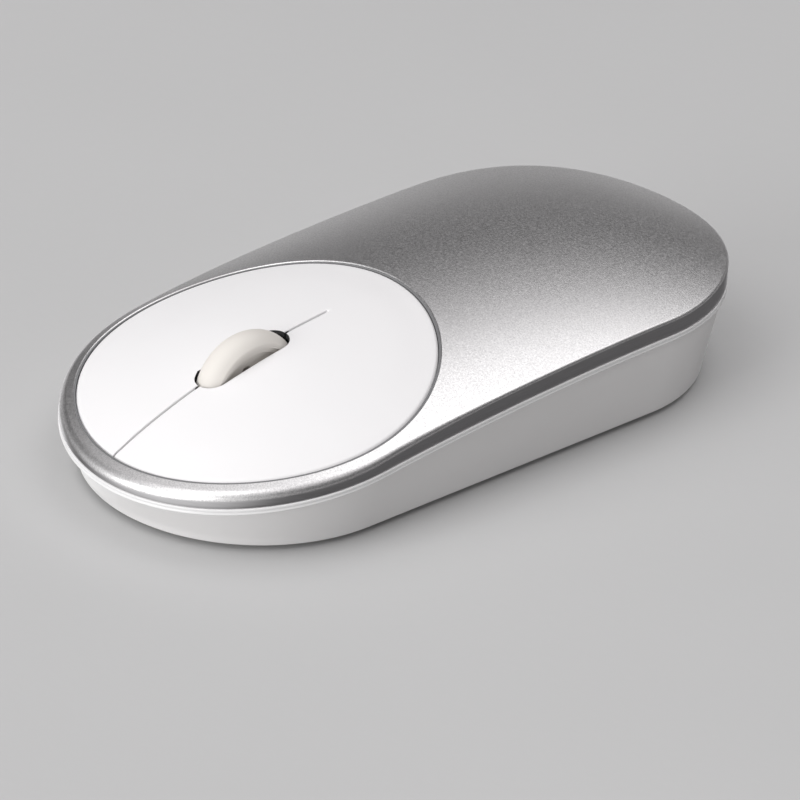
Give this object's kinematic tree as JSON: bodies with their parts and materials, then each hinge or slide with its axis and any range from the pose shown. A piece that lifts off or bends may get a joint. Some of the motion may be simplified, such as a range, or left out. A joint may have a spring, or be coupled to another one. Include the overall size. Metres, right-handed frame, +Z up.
{
  "type": "computer mouse",
  "caption": "Low cordless mouse with half-round ends, a domed satin metal cover, a round white two-button plate with a scroll wheel, and a white tapered base.",
  "frame": {"origin": "on the surface the glide feet rest on, below the middle of the body's outline", "axes": "+Z up, +Y towards the button end, +X to the right-hand side seen from above with the buttons forward"},
  "size_m": [0.0558, 0.1102, 0.0219],
  "materials": {
    "cover": "fine bead-blasted satin silver, polished thin chamfer round the plate opening",
    "buttons": "smooth matte white",
    "frame": "satin white, slightly glossier lip",
    "base": "fine-grained satin white",
    "tyre": "smooth warm white silicone rubber",
    "glide": "milky slippery plastic",
    "dark": "black moulded plastic",
    "inner": "plain white moulded plastic",
    "board": "green solder mask",
    "steel": "plain bright steel",
    "clear": "clear moulded plastic",
    "cell": "glossy printed sleeve in plain bands"
  },
  "bodies": {
    "housing": {"top_cover": "cover", "button_bridge": "buttons", "mid_frame": "frame", "base_shell": "base", "front_foot": "glide", "rear_foot": "glide", "circuit_board": "board", "sensor_chip": "dark", "sensor_lens": "clear", "radio_chip": "dark", "crystal": "steel", "capacitor": "dark", "left_switch_body": "dark", "right_switch_body": "dark", "middle_switch_body": "dark", "wheel_mount": "dark", "wheel_emitter": "clear", "wheel_detector": "dark", "power_switch_body": "steel", "pair_switch": "dark", "battery_bay": "inner", "battery_left": "cell", "battery_right": "cell", "contact_front_left": "steel", "contact_front_right": "steel", "contact_rear": "steel", "spring_front": "steel", "spring_rear": "steel", "case_screw_1": "steel", "case_screw_2": "steel", "case_screw_3": "steel", "case_screw_4": "steel", "board_screw_1": "steel", "board_screw_2": "steel", "board_screw_3": "steel", "bridge_screw_left": "steel", "bridge_screw_right": "steel"},
    "left_key": {"left_button": "buttons"},
    "right_key": {"right_button": "buttons"},
    "left_plunger": {"left_switch_plunger": "inner"},
    "right_plunger": {"right_switch_plunger": "inner"},
    "wheel_rocker": {"wheel_bracket": "dark"},
    "wheel": {"wheel_tyre": "tyre", "wheel_hub": "inner", "wheel_axle": "steel"},
    "middle_plunger": {"middle_switch_plunger": "dark"},
    "power_knob": {"power_switch_knob": "dark"},
    "pair_key": {"pair_button": "inner"},
    "door": {"battery_door": "base"}
  },
  "joints": [
    {"name": "left_press", "type": "hinge", "parent": "housing", "child": "left_key", "pos_m": [-0.0125, 0.01345, 0.019], "axis": [1, 0, 0], "range_deg": [-1.1, 0], "stiffness_Nm_per_rad": 0.8},
    {"name": "right_press", "type": "hinge", "parent": "housing", "child": "right_key", "pos_m": [0.0125, 0.01345, 0.019], "axis": [1, 0, 0], "range_deg": [-1.1, 0], "stiffness_Nm_per_rad": 0.8},
    {"name": "left_click", "type": "slide", "parent": "housing", "child": "left_plunger", "axis": [0, 0, 1], "range_m": [-0.00045, 0]},
    {"name": "right_click", "type": "slide", "parent": "housing", "child": "right_plunger", "axis": [0, 0, 1], "range_m": [-0.00045, 0]},
    {"name": "wheel_press", "type": "hinge", "parent": "housing", "child": "wheel_rocker", "pos_m": [0, 0.0174, 0.0128], "axis": [1, 0, 0], "range_deg": [-1.6, 0], "stiffness_Nm_per_rad": 0.9},
    {"name": "wheel_spin", "type": "hinge", "parent": "wheel_rocker", "child": "wheel", "pos_m": [0, 0.0291, 0.0126], "axis": [1, 0, 0], "continuous": true},
    {"name": "middle_click", "type": "slide", "parent": "housing", "child": "middle_plunger", "axis": [0, 0, 1], "range_m": [-0.00075, 0]},
    {"name": "power_slide", "type": "slide", "parent": "housing", "child": "power_knob", "axis": [0, 1, 0], "range_m": [-0.0028, 0]},
    {"name": "pair_press", "type": "slide", "parent": "housing", "child": "pair_key", "axis": [0, 0, 1], "range_m": [0, 0.0003], "stiffness_N_per_m": 1000},
    {"name": "door_open", "type": "hinge", "parent": "housing", "child": "door", "pos_m": [0, -0.0444, 0.0009], "axis": [1, 0, 0], "range_deg": [-70, 0]}
  ],
  "couplings": [
    {"joint": "left_click", "follows": "left_press", "m_per_rad": 0.0208},
    {"joint": "right_click", "follows": "right_press", "m_per_rad": 0.0208},
    {"joint": "middle_click", "follows": "wheel_press", "m_per_rad": 0.0215}
  ]
}
